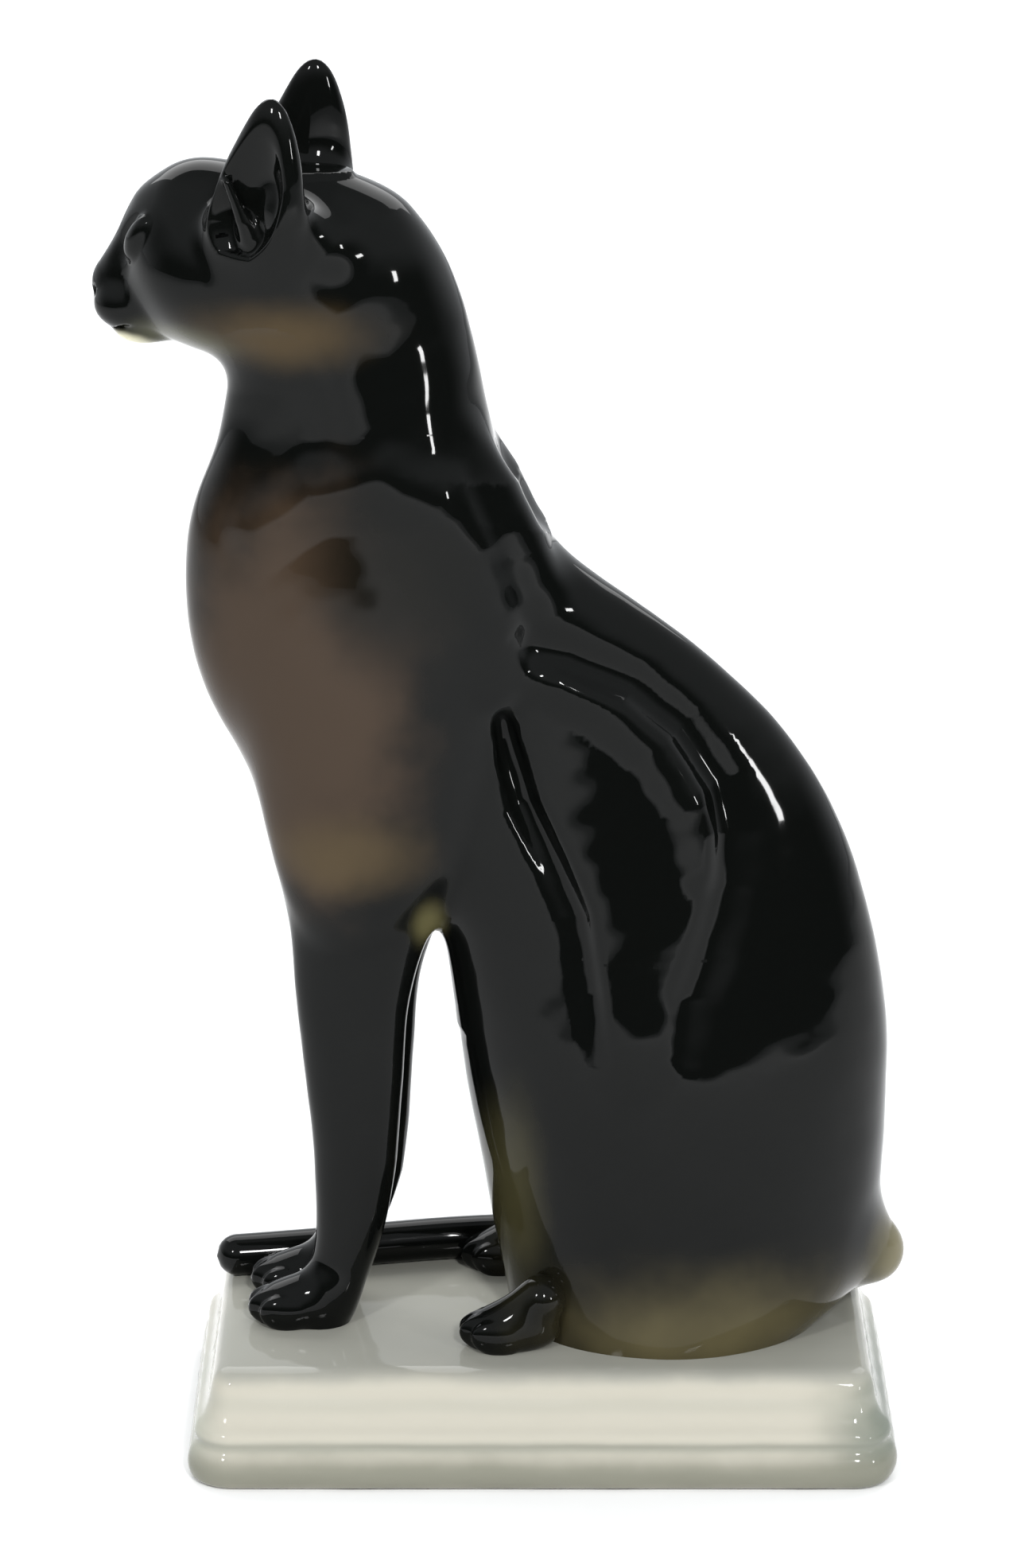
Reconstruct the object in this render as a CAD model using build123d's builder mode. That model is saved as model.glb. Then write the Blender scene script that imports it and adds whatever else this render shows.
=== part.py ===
"""Sitting porcelain cat on a moulded plinth, slip-cast in separate pieces and luted together.

The origin is the centre of the plinth's underside, +Z is up, and the cat faces -X, so its left
side faces -Y. Millimetres throughout.

Every piece is one casting. Where two are luted together, one is cut back by the other, so they
meet face to face, the way a caster trims an ear or a leg to the body before sticking it up.
"""
import os
from math import cos, radians, sin

from build123d import *

# ---------------------------------------------------------------- plinth
plinth_length = 113.0
plinth_width = 60.0
plinth_height = 18.0
plinth_corner_radius = 7.0
plinth_wall = 4.0        # at the thinnest, behind the groove
plinth_deck = 4.0
plinth_inner_radius = 3.0
blank_allowance = 1.0    # what the moulding's cutter takes off all round
foot_round = 0.8
band_height = 6.6
groove_depth = 1.4
bead_height = 2.4
bead_proud = 0.5
cove_inset = 4.8
cove_sag = 1.1
deck_round = 1.3

# ---------------------------------------------------------------- castings in general
cast_wall = 4.0
vent_radius = 2.5        # lets the closed body breathe into the plinth in the kiln
vent_x = 27.0
vent_overrun = 1.0       # how far the drilled vent starts and ends beyond the floor it pierces
cat_y = 2.0              # the cat sits a little to its right of the plinth's middle

# ---------------------------------------------------------------- body
haunch_half_width = 21.0
shoulder_half_width = 17.5
neck_height = 150.0      # heights from here on are above the plinth's deck
neck_front = -48.6
neck_back = -9.3
neck_half_width = 12.0

# ---------------------------------------------------------------- head
head_turn = 13.0         # degrees, towards the cat's right
head_pivot_x = -30.0
skull_half_width = 16.5
crown_height = 187.5
muzzle_height = 168.0
muzzle_reach = 39.8      # from the head's pivot to the tip of the nose

# ---------------------------------------------------------------- ears
ear_root_height = 179.0
ear_height = 22.3        # from its root inside the trim line to its tip
ear_x = -38.5
ear_rake = 1.2           # how far the tip stands behind the root
ear_spacing = 23.0
ear_lean = 1.0           # how far the tip stands outside the root
ear_half_length = 7.0
ear_half_thickness = 3.6
ear_bowl_radius = 4.6

# ---------------------------------------------------------------- forelegs and paws
foreleg_spacing = 9.8
foreleg_x = -30.3
foreleg_half_width = 4.7
fore_paw_half_length = 9.0
fore_paw_half_width = 4.8
fore_paw_height = 8.4
fore_paw_ahead = 8.4     # how far the paw's middle stands in front of the leg's
hind_paw_inset = 5.8     # how far the paw's middle stands inside the haunch's widest
hind_paw_x = -2.0
hind_paw_half_length = 11.6  # the heel end is under the haunch
hind_paw_half_width = 4.3
hind_paw_height = 7.0

# ---------------------------------------------------------------- tail
tail_radius = 3.5
tail_tip_x = -53.5
tail_root_radius = 4.6
tail_seat = 0.4          # how much of the tail's round is flattened where it lies on the deck

# ---------------------------------------------------------------- sections of the lofts
# Height above the deck, front of the body, back of the body, half-width.
torso_sections = [
    (0, -3.0, 50.0, haunch_half_width - 2.2),
    (6, -7.0, 54.0, haunch_half_width - 0.6),
    (18, -9.0, 55.5, haunch_half_width),
    (34, -10.5, 56.0, haunch_half_width),
    (48, -12.5, 55.0, haunch_half_width - 0.8),
    (62, -18.5, 53.0, haunch_half_width - 2.0),
    (74, -33.0, 50.0, shoulder_half_width + 1.0),
    (86, -43.3, 45.5, shoulder_half_width),
    (100, -49.8, 37.0, shoulder_half_width),
    (114, -54.6, 23.0, shoulder_half_width),
    (126, -55.4, 7.0, shoulder_half_width - 1.2),
    (135, -54.0, -1.5, shoulder_half_width - 2.7),
    (143, -51.6, -6.0, neck_half_width + 1.0),
    (neck_height, neck_front, neck_back, neck_half_width),
]

# The same for the skull, before the head is turned.
skull_sections = [
    (158, -50.0, -10.8, neck_half_width + 1.5),
    (166, -54.5, -12.8, skull_half_width - 1.0),
    (174, -58.0, -15.8, skull_half_width),
    (181, -57.5, -21.0, skull_half_width - 1.6),
    (185.5, -54.0, -27.5, skull_half_width - 5.5),
    (crown_height, -48.5, -35.0, skull_half_width - 11.0),
]

# Distance in front of the head's pivot, half-width, half-height.
muzzle_sections = [
    (18.0, 13.0, 12.0),
    (26.0, 9.6, 10.6),
    (32.0, 7.4, 8.4),
    (36.5, 5.4, 6.2),
    (muzzle_reach, 2.6, 3.4),
]

# Height above the deck, front and back of the leg, half-width.
foreleg_sections = [
    (3, foreleg_x - 5.6, foreleg_x + 4.6, foreleg_half_width - 0.4),
    (12, foreleg_x - 5.6, foreleg_x + 4.8, foreleg_half_width - 0.4),
    (26, foreleg_x - 6.2, foreleg_x + 6.2, foreleg_half_width - 0.1),
    (42, foreleg_x - 7.7, foreleg_x + 7.1, foreleg_half_width),
    # From here up the two legs reach past the cat's middle, so that they join.
    (58, foreleg_x - 9.3, foreleg_x + 8.5, foreleg_spacing / 2 + 0.2),
    (72, foreleg_x - 10.6, foreleg_x + 11.8, foreleg_spacing / 2 + 0.6),
    (86, foreleg_x - 12.0, foreleg_x + 13.0, foreleg_spacing / 2 + 1.0),
]

# Share of an ear's height, share of its length and of its thickness there.
ear_sections = [(0.0, 1.0, 1.0), (0.5, 0.88, 0.8), (0.82, 0.6, 0.55), (1.0, 0.24, 0.3)]

# Share of a paw's height, share of its length and width there.
paw_sections = [(0.0, 0.9), (0.25, 1.0), (0.55, 0.93), (0.8, 0.74), (1.0, 0.4)]

parts_folder = "parts"
os.makedirs(parts_folder, exist_ok=True)

deck_plane = Plane.XY.offset(plinth_height)
body_plane = Plane(origin=(0, cat_y, plinth_height), z_dir=(0, 0, 1))

# The head turns about an upright line through its pivot. On this plane a section is drawn where
# it would stand on an unturned head.
turn = radians(head_turn)
head_plane = Plane(
    origin=(
        head_pivot_x - head_pivot_x * cos(turn),
        cat_y + head_pivot_x * sin(turn),
        plinth_height,
    ),
    x_dir=(cos(turn), -sin(turn), 0),
    z_dir=(0, 0, 1),
)
head_pivot = head_plane.from_local_coords(Vector(head_pivot_x, 0, muzzle_height))
muzzle_plane = Plane(
    origin=head_pivot,
    x_dir=head_plane.y_dir,
    z_dir=-head_plane.x_dir,
)


def write_piece(piece, name):
    """Labels a finished casting and writes it as one STEP file."""
    piece.part.label = name
    export_step(piece.part, f"{parts_folder}/{name}.step")
    volume = sum(solid.volume for solid in piece.part.solids())
    print(f"{name}: {len(piece.part.solids())} solid, {volume / 1000:.1f} cm3")


def levels(plane, sections):
    """Level elliptical sections, one for each height, ready to be lofted."""
    sketches = []
    for height, front, back, half_width in sections:
        with BuildSketch(plane.offset(height)) as level:
            with Locations(((front + back) / 2, 0)):
                Ellipse((back - front) / 2, half_width)
        sketches.append(level.sketch)
    return sketches


def shrunk(sections):
    """The sections of a casting's hollow, a wall's thickness smaller all round."""
    return [
        (height, front + cast_wall, back - cast_wall, half_width - cast_wall)
        for height, front, back, half_width in sections
    ]


def paw_levels(plane, x, half_length, half_width, height):
    """The level sections of a round-topped paw."""
    sections = [
        (
            height * share_up,
            x - half_length * share_out,
            x + half_length * share_out,
            half_width * share_out,
        )
        for share_up, share_out in paw_sections
    ]
    return levels(plane, sections)


# ---------------------------------------------------------------- plinth
end = plinth_length / 2
edge = plinth_width / 2
clear = edge + 2 * blank_allowance
groove_floor = edge - groove_depth
cove_top = edge - cove_inset
bead_top = band_height + bead_height

with BuildPart() as plinth:
    # The moulding is what a profile run round the blank takes away. The blank is cut oversize,
    # so that the profile leaves a new face all the way round.
    with BuildSketch():
        RectangleRounded(
            plinth_length + 2 * blank_allowance,
            plinth_width + 2 * blank_allowance,
            plinth_corner_radius + blank_allowance,
        )
    extrude(amount=plinth_height)
    with BuildLine() as rim:
        FilletPolyline(
            (0, -edge), (end, -edge), (end, edge), (0, edge), radius=plinth_corner_radius
        )
        mirror(about=Plane.YZ)
    with BuildSketch(Plane.YZ) as moulding:
        with BuildLine():
            Polyline(
                (-edge + foot_round, 0),
                (-edge + foot_round, -blank_allowance),
                (-clear, -blank_allowance),
                (-clear, plinth_height + blank_allowance),
                (-cove_top + deck_round, plinth_height + blank_allowance),
                (-cove_top + deck_round, plinth_height),
            )
            RadiusArc((-edge + foot_round, 0), (-edge, foot_round), foot_round)
            Line((-edge, foot_round), (-edge, band_height - groove_depth))
            RadiusArc(
                (-edge, band_height - groove_depth), (-groove_floor, band_height), groove_depth
            )
            SagittaArc((-groove_floor, band_height), (-groove_floor, bead_top), bead_proud)
            SagittaArc(
                (-groove_floor, bead_top), (-cove_top, plinth_height - deck_round), -cove_sag
            )
            RadiusArc(
                (-cove_top, plinth_height - deck_round),
                (-cove_top + deck_round, plinth_height),
                deck_round,
            )
        make_face()
    sweep(path=rim.line, mode=Mode.SUBTRACT)
    # Hollow from below, with walls that lean inwards like the cove outside them.
    for height, inset in (
        (0, plinth_wall + groove_depth),
        (plinth_height - plinth_deck, plinth_wall + cove_inset),
    ):
        with BuildSketch(Plane.XY.offset(height)):
            RectangleRounded(
                plinth_length - 2 * inset,
                plinth_width - 2 * inset,
                plinth_inner_radius,
            )
    loft(mode=Mode.SUBTRACT)
    with Locations((vent_x, cat_y, plinth_height)):
        Hole(vent_radius, depth=plinth_height)

write_piece(plinth, "plinth")

# ---------------------------------------------------------------- body
with BuildPart() as torso_form:
    loft(levels(body_plane, torso_sections))

with BuildPart() as torso_hollow:
    # The floor is a wall thick, and the neck is open to the head.
    raised_floor = (cast_wall, *torso_sections[1][1:])
    loft(levels(body_plane, shrunk([raised_floor, *torso_sections[2:]])))

with BuildPart() as torso:
    add(torso_form.part)
    add(torso_hollow.part, mode=Mode.SUBTRACT)
    with Locations((vent_x, cat_y, plinth_height + cast_wall + vent_overrun)):
        Hole(vent_radius, depth=cast_wall + 2 * vent_overrun)

write_piece(torso, "torso")

# ---------------------------------------------------------------- head
neck_section = torso_sections[-1]

with BuildPart() as head_form:
    loft(levels(body_plane, [neck_section]) + levels(head_plane, skull_sections))
    for reach, half_width, half_height in muzzle_sections:
        with BuildSketch(muzzle_plane.offset(reach)):
            Ellipse(half_width, half_height)
    loft()

with BuildPart() as head_hollow:
    loft(
        levels(body_plane, shrunk([neck_section]))
        + levels(head_plane, shrunk(skull_sections[:4]))
    )

with BuildPart() as head:
    add(head_form.part)
    add(head_hollow.part, mode=Mode.SUBTRACT)

write_piece(head, "head")

# ---------------------------------------------------------------- ears
for name, side in (("left_ear", -1), ("right_ear", 1)):
    ear_y = side * ear_spacing / 2
    with BuildPart() as ear:
        for share_up, share_long, share_thick in ear_sections:
            with BuildSketch(head_plane.offset(ear_root_height + ear_height * share_up)):
                with Locations((ear_x + ear_rake * share_up, ear_y + side * ear_lean * share_up)):
                    Ellipse(ear_half_length * share_long, ear_half_thickness * share_thick)
        loft()
        # The bowl of the ear is a hollow pressed into its outer side.
        bowl_y = ear_y + side * (ear_half_thickness + ear_bowl_radius / 2)
        bowl_height = ear_root_height + ear_height / 2
        with Locations(head_plane.from_local_coords(Vector(ear_x, bowl_y, bowl_height))):
            Sphere(ear_bowl_radius, mode=Mode.SUBTRACT)
        add(head_form.part, mode=Mode.SUBTRACT)
    write_piece(ear, name)

# ---------------------------------------------------------------- forelegs, each with its paw
for name, side in (("left_foreleg", -1), ("right_foreleg", 1)):
    leg_y = cat_y + side * foreleg_spacing / 2
    leg_plane = Plane(origin=(0, leg_y, plinth_height), z_dir=(0, 0, 1))
    with BuildPart() as foreleg:
        loft(levels(leg_plane, foreleg_sections))
        loft(
            paw_levels(
                leg_plane,
                foreleg_x - fore_paw_ahead,
                fore_paw_half_length,
                fore_paw_half_width,
                fore_paw_height,
            )
        )
        add(torso_form.part, mode=Mode.SUBTRACT)
        # Below the chest the two legs press against each other at the cat's middle.
        middle = Plane(origin=(0, cat_y, 0), z_dir=(0, side, 0))
        split(bisect_by=middle, keep=Keep.TOP)
    write_piece(foreleg, name)

# ---------------------------------------------------------------- hind paws
for name, side in (("left_hind_paw", -1), ("right_hind_paw", 1)):
    paw_y = cat_y + side * (haunch_half_width - hind_paw_inset)
    paw_plane = Plane(origin=(0, paw_y, plinth_height), z_dir=(0, 0, 1))
    with BuildPart() as hind_paw:
        loft(
            paw_levels(
                paw_plane,
                hind_paw_x,
                hind_paw_half_length,
                hind_paw_half_width,
                hind_paw_height,
            )
        )
        add(torso_form.part, mode=Mode.SUBTRACT)
    write_piece(hind_paw, name)

right_hind_paw = hind_paw.part  # the last one made, which the tail is cut back by

# ---------------------------------------------------------------- tail
# It leaves the rump low down, lies along the right haunch and ends beside the fore paws.
tail_z = plinth_height + tail_radius - tail_seat
flank_y = cat_y + haunch_half_width - 0.8
tail_route = [
    (54.2, cat_y, plinth_height + 8.5),
    (54.2, cat_y + 10.0, plinth_height + 5.5),
    (45.0, flank_y, tail_z),
    (24.0, flank_y, tail_z),
    (-4.0, flank_y - 0.6, tail_z),
    (-24.0, flank_y - 3.4, tail_z),
    (tail_tip_x + tail_radius, flank_y - 6.8, tail_z),
]
tail_bends = [5.0, 12.0, 200.0, 90.0, 200.0]

with BuildPart() as tail:
    with BuildLine() as tail_line:
        FilletPolyline(*tail_route, radius=tail_bends)
    with BuildSketch(Plane(origin=tail_line.line @ 0, z_dir=tail_line.line % 0)):
        Circle(tail_radius)
    sweep()
    with Locations(tail_line.line @ 1):
        Sphere(tail_radius)
    with Locations(tail_line.line @ 0):
        Sphere(tail_root_radius)
    split(bisect_by=deck_plane, keep=Keep.TOP)
    add(torso_form.part, mode=Mode.SUBTRACT)
    add(right_hind_paw, mode=Mode.SUBTRACT)

write_piece(tail, "tail")
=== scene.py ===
"""Looks of a seated porcelain cat on a moulded plinth, glazed over sprayed black and brown.

The cat is sculpted as one smooth field of lofts, ellipsoids and tapering rods. Each casting is
the stretch of that field's surface that belongs to it, closed where it was luted to its neighbour,
so no seam shows through the glaze. Sculpting sizes are in millimetres, and meshes in metres.
"""
import logging
import math
from dataclasses import dataclass, field
from enum import Enum
from typing import Callable, Sequence

import bmesh
import bpy
import numpy as np
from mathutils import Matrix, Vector


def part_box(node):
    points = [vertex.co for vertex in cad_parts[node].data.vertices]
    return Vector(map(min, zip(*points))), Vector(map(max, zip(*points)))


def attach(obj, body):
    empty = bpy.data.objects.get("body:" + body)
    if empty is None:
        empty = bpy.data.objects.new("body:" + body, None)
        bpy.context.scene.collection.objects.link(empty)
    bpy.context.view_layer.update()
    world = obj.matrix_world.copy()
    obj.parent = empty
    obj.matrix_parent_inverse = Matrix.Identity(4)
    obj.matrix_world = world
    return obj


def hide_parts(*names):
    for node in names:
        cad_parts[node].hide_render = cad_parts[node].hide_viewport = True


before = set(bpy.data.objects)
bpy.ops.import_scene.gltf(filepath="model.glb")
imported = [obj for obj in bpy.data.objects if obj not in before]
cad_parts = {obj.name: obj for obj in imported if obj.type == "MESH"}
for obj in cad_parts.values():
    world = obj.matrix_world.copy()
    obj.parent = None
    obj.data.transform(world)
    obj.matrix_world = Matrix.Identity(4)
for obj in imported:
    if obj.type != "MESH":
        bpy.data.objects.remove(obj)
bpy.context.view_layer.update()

log = logging.getLogger("porcelain_cat")

MM = 0.001
BODY = "root"
FAR = 1e3

Field = Callable[[np.ndarray], np.ndarray]
Point = tuple[float, float, float]


def node_box(node: str) -> tuple[Vector, Vector]:
    """The lowest and highest corners of a node of the frame, in millimetres."""
    low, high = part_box(node)
    return low / MM, high / MM


def add_object(name: str, data: bpy.types.ID) -> bpy.types.Object:
    """Puts a new object with this data into the scene."""
    made = bpy.data.objects.new(name, data)
    bpy.context.scene.collection.objects.link(made)
    return made


PLINTH_LOW, PLINTH_HIGH = node_box("plinth")
TORSO_LOW, TORSO_HIGH = node_box("torso")
DECK = PLINTH_HIGH.z
MIDDLE = (TORSO_LOW.y + TORSO_HIGH.y) / 2
NECK = TORSO_HIGH.z


# ---------------------------------------------------------------- sculpting in a distance field
def smooth_union(a: np.ndarray, b: np.ndarray, width: float) -> np.ndarray:
    """Joins two forms with a fillet.

    Args:
        a: Distance to the first form.
        b: Distance to the second form.
        width: How far the fillet reaches, in millimetres.

    Returns:
        Distance to the joined form.
    """
    share = np.clip(0.5 + 0.5 * (b - a) / width, 0.0, 1.0)
    return b + (a - b) * share - width * share * (1.0 - share)


def smooth_cut(a: np.ndarray, cutter: np.ndarray, width: float) -> np.ndarray:
    """Takes the cutter's form out of the first one, with soft edges.

    Args:
        a: Distance to the form that is cut.
        cutter: Distance to the form that is taken away.
        width: How far the softness reaches, in millimetres.

    Returns:
        Distance to what is left.
    """
    return -smooth_union(-a, cutter, width)


def ellipsoid(
    p: np.ndarray, centre: Point, radii: Point, tilt: float = 0.0, splay: float = 0.0
) -> np.ndarray:
    """An egg-like form.

    Args:
        p: Points, one per row.
        centre: The form's middle.
        radii: Its half-sizes along X, Y and Z before it is tilted.
        tilt: Degrees that its top leans towards +X.
        splay: Degrees that its top leans towards +Y.

    Returns:
        Distance to its surface, nearly true close to it.
    """
    q = p - np.asarray(centre)
    a, b = math.radians(tilt), math.radians(splay)
    x = q[:, 0] * math.cos(a) - q[:, 2] * math.sin(a)
    z = q[:, 0] * math.sin(a) + q[:, 2] * math.cos(a)
    y = q[:, 1] * math.cos(b) - z * math.sin(b)
    z = q[:, 1] * math.sin(b) + z * math.cos(b)
    q = np.stack([x, y, z], axis=1) / np.asarray(radii)
    near = np.linalg.norm(q, axis=1)
    slope = np.linalg.norm(q / np.asarray(radii), axis=1)
    return near * (near - 1.0) / np.maximum(slope, 1e-9)


def rod(p: np.ndarray, start: Point, end: Point, r_start: float, r_end: float) -> np.ndarray:
    """A straight round rod with round ends, which may taper.

    Args:
        p: Points, one per row.
        start: Middle of the first end.
        end: Middle of the last end.
        r_start: Radius at the first end.
        r_end: Radius at the last end.

    Returns:
        Distance to its surface.
    """
    a, b = np.asarray(start), np.asarray(end)
    run = b - a
    share = np.clip(((p - a) @ run) / (run @ run), 0.0, 1.0)
    middle = a + share[:, None] * run
    return np.linalg.norm(p - middle, axis=1) - (r_start + (r_end - r_start) * share)


def rod_chain(
    p: np.ndarray, places: Sequence[Sequence[float]], radii: Sequence[float]
) -> np.ndarray:
    """Rods from each place to the next.

    Args:
        p: Points, one per row.
        places: The middles of the chain's corners.
        radii: The radius at each corner.

    Returns:
        Distance to the nearest rod.
    """
    form = np.full(len(p), FAR)
    for i in range(len(places) - 1):
        form = np.minimum(form, rod(p, places[i], places[i + 1], radii[i], radii[i + 1]))
    return form


class SmoothCurve:
    """A natural cubic curve through a few values, for sizes that change smoothly with height."""

    def __init__(self, at: Sequence[float], values: Sequence[float]) -> None:
        """Solves the curve's bends.

        Args:
            at: Where the values are given, rising.
            values: The values there.
        """
        self.at = np.asarray(at, float)
        self.values = np.asarray(values, float)
        step = np.diff(self.at)
        slope = np.diff(self.values) / step
        count = len(self.at)
        system, right = np.eye(count), np.zeros(count)
        for i in range(1, count - 1):
            system[i, i - 1 : i + 2] = step[i - 1], 2 * (step[i - 1] + step[i]), step[i]
            right[i] = 6 * (slope[i] - slope[i - 1])
        self.bend = np.linalg.solve(system, right)

    def __call__(self, x: np.ndarray) -> np.ndarray:
        """The curve's value at each x, held level past its ends."""
        x = np.clip(x, self.at[0], self.at[-1])
        i = np.clip(np.searchsorted(self.at, x) - 1, 0, len(self.at) - 2)
        step = self.at[i + 1] - self.at[i]
        a, b = (self.at[i + 1] - x) / step, (x - self.at[i]) / step
        straight = a * self.values[i] + b * self.values[i + 1]
        curl = (a**3 - a) * self.bend[i] + (b**3 - b) * self.bend[i + 1]
        return straight + curl * step**2 / 6


class Loft:
    """A form whose level sections are ellipses, given at a few heights."""

    def __init__(self, sections: Sequence[tuple[float, ...]]) -> None:
        """Fits the curves.

        Args:
            sections: Height, front X, back X and half-width of each section, from the bottom up.
                A fifth number is the Y of the section's middle, if that isn't nought.
        """
        height, front, back, half_width, *middle = zip(*sections)
        self.low, self.high = height[0], height[-1]
        self.front = SmoothCurve(height, front)
        self.back = SmoothCurve(height, back)
        self.half_width = SmoothCurve(height, half_width)
        self.middle = SmoothCurve(height, middle[0] if middle else [0.0] * len(height))

    def __call__(self, p: np.ndarray) -> np.ndarray:
        """Distance to the form, nearly true where its walls are steep."""
        z = p[:, 2]
        front, back, half_width = self.front(z), self.back(z), self.half_width(z)
        half_length = (back - front) / 2
        x = (p[:, 0] - (front + back) / 2) / half_length
        y = (p[:, 1] - self.middle(z)) / half_width
        near = np.hypot(x, y)
        slope = np.hypot(x / half_length, y / half_width)
        side = near * (near - 1.0) / np.maximum(slope, 1e-9)
        ends = np.maximum(self.low - z, z - self.high)
        return np.maximum(side, ends)


class Leaf:
    """A thin leaf on edge with a round tip: an ear, or the bowl inside it."""

    def __init__(self, sections: Sequence[tuple[float, float, float]], thinness: float) -> None:
        """Fits the curves.

        Args:
            sections: Height, middle X and half-length of each section, from the bottom up.
            thinness: Half-length over half-thickness.
        """
        height, middle, half_length = zip(*sections)
        self.low, self.high = height[0], height[-1]
        self.middle = SmoothCurve(height, middle)
        self.square = SmoothCurve(height, [r * r for r in half_length])
        self.thinness = thinness

    def __call__(self, p: np.ndarray) -> np.ndarray:
        """Distance to the leaf's surface, where Y is measured from its own middle."""
        z = p[:, 2]
        half_length = np.sqrt(np.maximum(self.square(z), 0.04))
        half_thickness = half_length / self.thinness
        x = (p[:, 0] - self.middle(z)) / half_length
        y = p[:, 1] / half_thickness
        near = np.hypot(x, y)
        slope = np.hypot(x / half_length, y / half_thickness)
        side = near * (near - 1.0) / np.maximum(slope, 1e-9)
        return np.maximum(side, np.maximum(self.low - z, z - self.high))


def two_sided(y: np.ndarray, softness: float) -> np.ndarray:
    """Distance from the cat's middle, rounded off there so that both sides meet smoothly."""
    return np.sqrt(y * y + softness * softness)


def with_y(p: np.ndarray, y: np.ndarray) -> np.ndarray:
    """The same points with another Y."""
    return np.stack([p[:, 0], y, p[:, 2]], axis=1)


# ---------------------------------------------------------------- from a field to a mesh
@dataclass
class Skin:
    """A surface taken from a field: points in millimetres and four-cornered faces."""

    points: np.ndarray
    quads: np.ndarray


def gradient(form: Field, points: np.ndarray, step: float = 0.05) -> np.ndarray:
    """The direction in which a field rises at each point, by small steps.

    Args:
        form: The field.
        points: Points, one per row.
        step: The length of a step, in millimetres.

    Returns:
        One vector for each point, whose length is the field's slope.
    """
    slopes = []
    for axis in range(3):
        offset = np.zeros(3)
        offset[axis] = step
        slopes.append((form(points + offset) - form(points - offset)) / (2 * step))
    return np.stack(slopes, axis=1)


def settle(form: Field, points: np.ndarray, rounds: int = 4, reach: float = 0.4) -> np.ndarray:
    """Moves points along the slope until they lie on a field's surface.

    Args:
        form: The field.
        points: Points near its surface.
        rounds: How many times each point is moved.
        reach: The furthest that a point moves in one round, in millimetres.

    Returns:
        The moved points.
    """
    for _ in range(rounds):
        slope = gradient(form, points)
        steep = np.maximum((slope**2).sum(1), 1e-6)
        move = (form(points) / steep)[:, None] * slope
        length = np.linalg.norm(move, axis=1, keepdims=True)
        points = points - move * np.minimum(1.0, reach / np.maximum(length, 1e-9))
    return points


def take_skin(form: Field, low: Point, high: Point, step: float) -> Skin:
    """Finds a field's surface inside a box by the method of surface nets.

    Args:
        form: The field, below nought inside the form.
        low: The box's lowest corner, in millimetres.
        high: The box's highest corner.
        step: The spacing of the grid.

    Returns:
        The surface, left open where it passes out of the box.
    """
    axes = [np.arange(a, b + step, step) for a, b in zip(low, high)]
    shape = tuple(len(a) for a in axes)
    values = np.empty(shape, np.float32)
    y, z = np.meshgrid(axes[1], axes[2], indexing="ij")
    flat = np.stack([np.zeros(y.size), y.ravel(), z.ravel()], axis=1)
    for i, x in enumerate(axes[0]):
        flat[:, 0] = x
        values[i] = form(flat).reshape(y.shape)
    inside = values < 0
    cells = tuple(n - 1 for n in shape)
    total = np.zeros(cells + (3,), np.float32)
    count = np.zeros(cells, np.int16)
    quads = []
    number = -np.ones(cells, np.int64)
    crossings = []
    for axis in range(3):
        first = [slice(None)] * 3
        last = [slice(None)] * 3
        first[axis], last[axis] = slice(0, -1), slice(1, None)
        a, b = values[tuple(first)], values[tuple(last)]
        crossing = inside[tuple(first)] != inside[tuple(last)]
        index = np.argwhere(crossing)
        va, vb = a[crossing], b[crossing]
        spot = index.astype(np.float32)
        spot[:, axis] += va / (va - vb)
        crossings.append((axis, index, va < 0))
        others = [k for k in range(3) if k != axis]
        for back_one in (0, 1):
            for back_two in (0, 1):
                cell = index.copy()
                cell[:, others[0]] -= back_one
                cell[:, others[1]] -= back_two
                ok = np.all((cell >= 0) & (cell < cells), axis=1)
                where = tuple(cell[ok].T)
                np.add.at(total, where, spot[ok])
                np.add.at(count, where, 1)
    used = count > 0
    number[used] = np.arange(int(used.sum()))
    points = total[used] / count[used][:, None] * step + np.asarray(low, np.float32)
    for axis, index, starts_inside in crossings:
        one, two = [k for k in range(3) if k != axis]
        inner = np.all(
            [
                index[:, one] > 0,
                index[:, two] > 0,
                index[:, one] < cells[one],
                index[:, two] < cells[two],
            ],
            axis=0,
        )
        index, starts_inside = index[inner], starts_inside[inner]
        corners = []
        for back_one, back_two in ((1, 1), (0, 1), (0, 0), (1, 0)):
            cell = index.copy()
            cell[:, one] -= back_one
            cell[:, two] -= back_two
            corners.append(number[tuple(cell.T)])
        face = np.stack(corners, axis=1)
        flip = starts_inside if axis == 1 else ~starts_inside
        face[flip] = face[flip][:, ::-1]
        quads.append(face)
    return Skin(settle(form, points.astype(float)), np.concatenate(quads))


class Side(Enum):
    """Which of a pair a casting is, by the sign of its Y from the cat's middle."""

    LEFT = -1
    RIGHT = 1


@dataclass
class Cut:
    """A level or upright plane that a luted seam follows.

    It only splits the faces that it crosses. Which faces stay is said where a piece is made.
    """

    point: Point
    normal: Point


def level(height: float) -> Cut:
    """A level seam."""
    return Cut((0, 0, height), (0, 0, 1))


def drop_crumbs(mesh: bmesh.types.BMesh) -> None:
    """Deletes every separate bit of surface but the largest.

    Args:
        mesh: The mesh to clean.
    """
    waiting = set(mesh.faces)
    islands = []
    while waiting:
        island = [waiting.pop()]
        for face in island:
            for edge in face.edges:
                for near in edge.link_faces:
                    if near in waiting:
                        waiting.remove(near)
                        island.append(near)
        islands.append(island)
    islands.sort(key=len)
    for island in islands[:-1]:
        bmesh.ops.delete(mesh, geom=island, context="FACES")


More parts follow.
